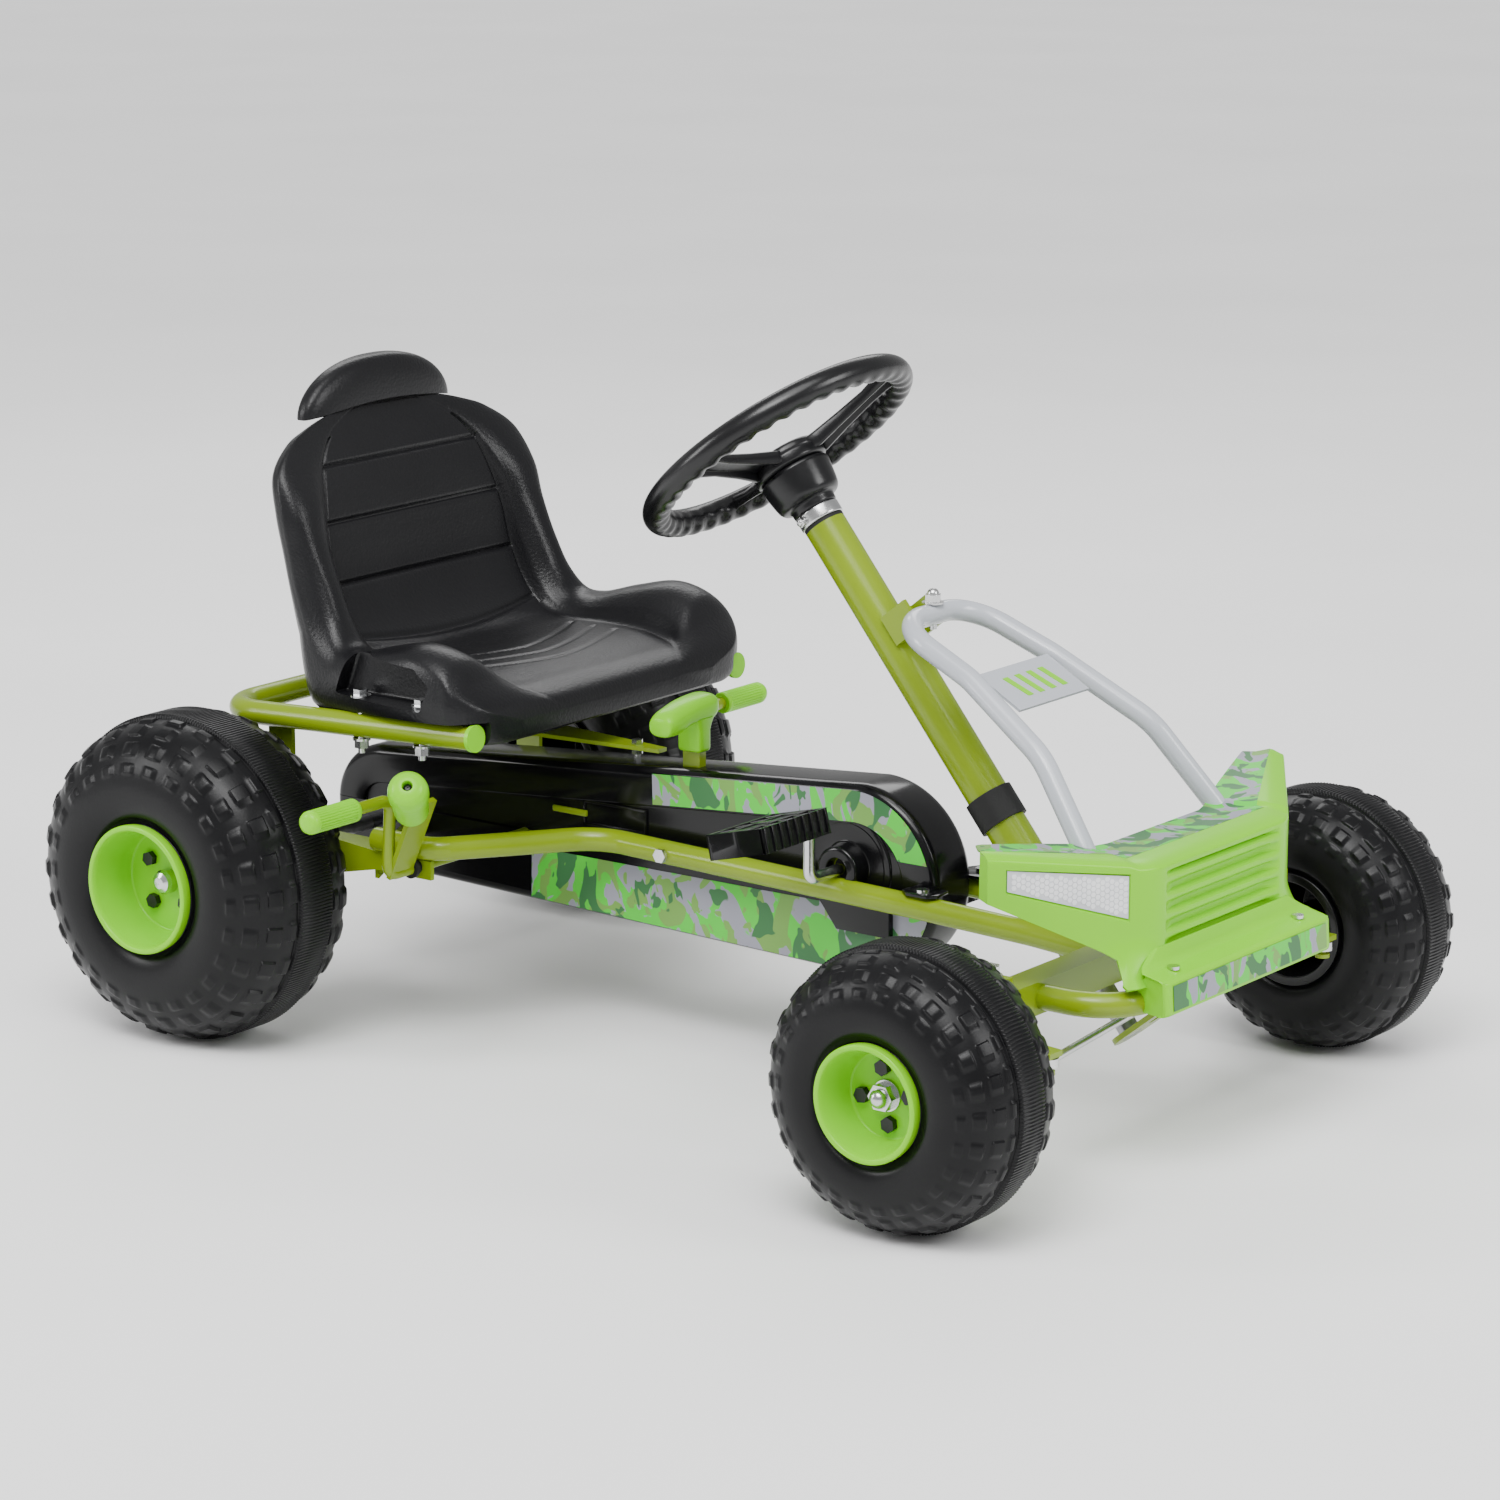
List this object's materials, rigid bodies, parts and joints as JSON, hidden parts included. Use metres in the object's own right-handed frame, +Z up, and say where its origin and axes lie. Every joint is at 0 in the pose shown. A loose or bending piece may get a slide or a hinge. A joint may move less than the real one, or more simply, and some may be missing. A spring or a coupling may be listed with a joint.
{
  "type": "pedal go kart",
  "caption": "Child's pedal go kart with bucket seat, moulded wheels, chain drive in a closed case, steering column with linkage, hand brake and shift lever.",
  "frame": {"origin": "on the ground, under the middle of the overall length and width", "axes": "+X forward, +Y to the rider's left, +Z up"},
  "size_m": [0.94, 0.663, 0.5468],
  "materials": {
    "olive_paint": "gloss",
    "green_plastic": "semi-gloss",
    "black_gloss_plastic": "gloss",
    "black_satin_plastic": "fine pebbled satin",
    "grey_paint": "gloss",
    "zinc_plate": "bright zinc",
    "black_tyre": "satin moulded",
    "camo_film": "printed film",
    "black_rubber": "matt",
    "white_reflector": "reflective film",
    "bare_steel": "plain",
    "bright_steel": "bright",
    "nylon": "plain",
    "black_steel": "blackened"
  },
  "bodies": {
    "kart_frame": {"frame_tube_right": "olive_paint", "frame_tube_left": "olive_paint", "rear_bracket_right": "olive_paint", "rear_bracket_left": "olive_paint", "front_axle_beam": "olive_paint", "bumper_tube": "olive_paint", "column_tube": "olive_paint", "column_band": "black_rubber", "column_saddle": "olive_paint", "hoop": "grey_paint", "hoop_bolt": "zinc_plate", "number_plate": "grey_paint", "bumper_cover": "green_plastic", "bumper_reflectors": "white_reflector", "chain_case_upper": "black_gloss_plastic", "chain_case_lower": "black_gloss_plastic", "case_decals": "camo_film", "cover_screws": "zinc_plate", "frame_bushes": "nylon", "chain": "bare_steel", "seat_shell": "black_satin_plastic", "seat_headrest": "black_satin_plastic", "seat_rail": "olive_paint", "rail_caps": "green_plastic", "seat_bolts": "zinc_plate", "seat_bracket": "olive_paint", "frame_bolts": "zinc_plate", "kingpin_bolts": "zinc_plate"},
    "steering": {"steering_wheel": "black_satin_plastic", "steering_boss": "black_gloss_plastic", "steering_collar": "zinc_plate", "steering_shaft": "bare_steel", "pitman_arm": "olive_paint"},
    "rear_wheels": {"rear_axle": "bare_steel", "rear_tyre_right": "black_tyre", "rear_tyre_left": "black_tyre", "rear_rim_right": "green_plastic", "rear_rim_left": "green_plastic", "rear_rim_bolts": "black_steel", "axle_caps": "zinc_plate", "rear_sprocket": "bare_steel"},
    "pedal_crank": {"crank": "bright_steel", "chainring": "bare_steel"},
    "right_pedal": {"pedal_right": "black_satin_plastic"},
    "left_pedal": {"pedal_left": "black_satin_plastic"},
    "brake": {"brake_bar": "olive_paint", "brake_sleeves": "green_plastic", "brake_knob": "green_plastic"},
    "shift": {"shift_lever": "olive_paint", "shift_handle": "green_plastic"},
    "right_knuckle": {"knuckle_right": "olive_paint"},
    "right_tie_rod": {"tie_rod_right": "zinc_plate"},
    "right_front_wheel": {"front_tyre_right": "black_tyre", "front_rim_right": "green_plastic", "front_rim_bolts_right": "black_steel"},
    "left_knuckle": {"knuckle_left": "olive_paint"},
    "left_tie_rod": {"tie_rod_left": "zinc_plate"},
    "left_front_wheel": {"front_tyre_left": "black_tyre", "front_rim_left": "green_plastic", "front_rim_bolts_left": "black_steel"}
  },
  "joints": [
    {"name": "steering_turn", "type": "hinge", "parent": "kart_frame", "child": "steering", "pos_m": [0.0942, 0, 0.4163], "axis": [-0.6266, 0, 0.7793], "range_deg": [-24, 24]},
    {"name": "rear_axle_spin", "type": "hinge", "parent": "kart_frame", "child": "rear_wheels", "pos_m": [-0.342, 0, 0.128], "axis": [0, 1, 0], "continuous": true},
    {"name": "crank_spin", "type": "hinge", "parent": "kart_frame", "child": "pedal_crank", "pos_m": [0.133, 0, 0.1655], "axis": [0, 1, 0], "continuous": true},
    {"name": "right_pedal_spin", "type": "hinge", "parent": "pedal_crank", "child": "right_pedal", "pos_m": [0.133, -0.122, 0.2115], "axis": [0, 1, 0], "continuous": true},
    {"name": "left_pedal_spin", "type": "hinge", "parent": "pedal_crank", "child": "left_pedal", "pos_m": [0.133, 0.122, 0.1195], "axis": [0, 1, 0], "continuous": true},
    {"name": "brake_pull", "type": "hinge", "parent": "kart_frame", "child": "brake", "pos_m": [-0.18, 0, 0.143], "axis": [0, -1, 0], "range_deg": [0, 42]},
    {"name": "shift_throw", "type": "hinge", "parent": "kart_frame", "child": "shift", "pos_m": [-0.023, 0, 0.186], "axis": [0, 1, 0], "range_deg": [-10, 10]},
    {"name": "right_knuckle_turn", "type": "hinge", "parent": "kart_frame", "child": "right_knuckle", "pos_m": [0.368, -0.181, 0.133], "axis": [0, 0, 1], "range_deg": [-20, 20]},
    {"name": "right_tie_rod_turn", "type": "hinge", "parent": "right_knuckle", "child": "right_tie_rod", "pos_m": [0.42, -0.186, 0.106], "axis": [0, 0, 1], "range_deg": [-20.5, 20.5]},
    {"name": "right_front_wheel_spin", "type": "hinge", "parent": "right_knuckle", "child": "right_front_wheel", "pos_m": [0.368, -0.275, 0.1015], "axis": [0, 1, 0], "continuous": true},
    {"name": "left_knuckle_turn", "type": "hinge", "parent": "kart_frame", "child": "left_knuckle", "pos_m": [0.368, 0.181, 0.133], "axis": [0, 0, 1], "range_deg": [-20, 20]},
    {"name": "left_tie_rod_turn", "type": "hinge", "parent": "left_knuckle", "child": "left_tie_rod", "pos_m": [0.42, 0.186, 0.106], "axis": [0, 0, 1], "range_deg": [-20.5, 20.5]},
    {"name": "left_front_wheel_spin", "type": "hinge", "parent": "left_knuckle", "child": "left_front_wheel", "pos_m": [0.368, 0.275, 0.1015], "axis": [0, 1, 0], "continuous": true}
  ],
  "couplings": [
    {"joint": "crank_spin", "follows": "rear_axle_spin", "ratio": 0.5},
    {"joint": "right_knuckle_turn", "follows": "steering_turn", "ratio": 0.774},
    {"joint": "right_tie_rod_turn", "follows": "steering_turn", "ratio": -0.792},
    {"joint": "left_knuckle_turn", "follows": "steering_turn", "ratio": 0.774},
    {"joint": "left_tie_rod_turn", "follows": "steering_turn", "ratio": -0.792}
  ]
}
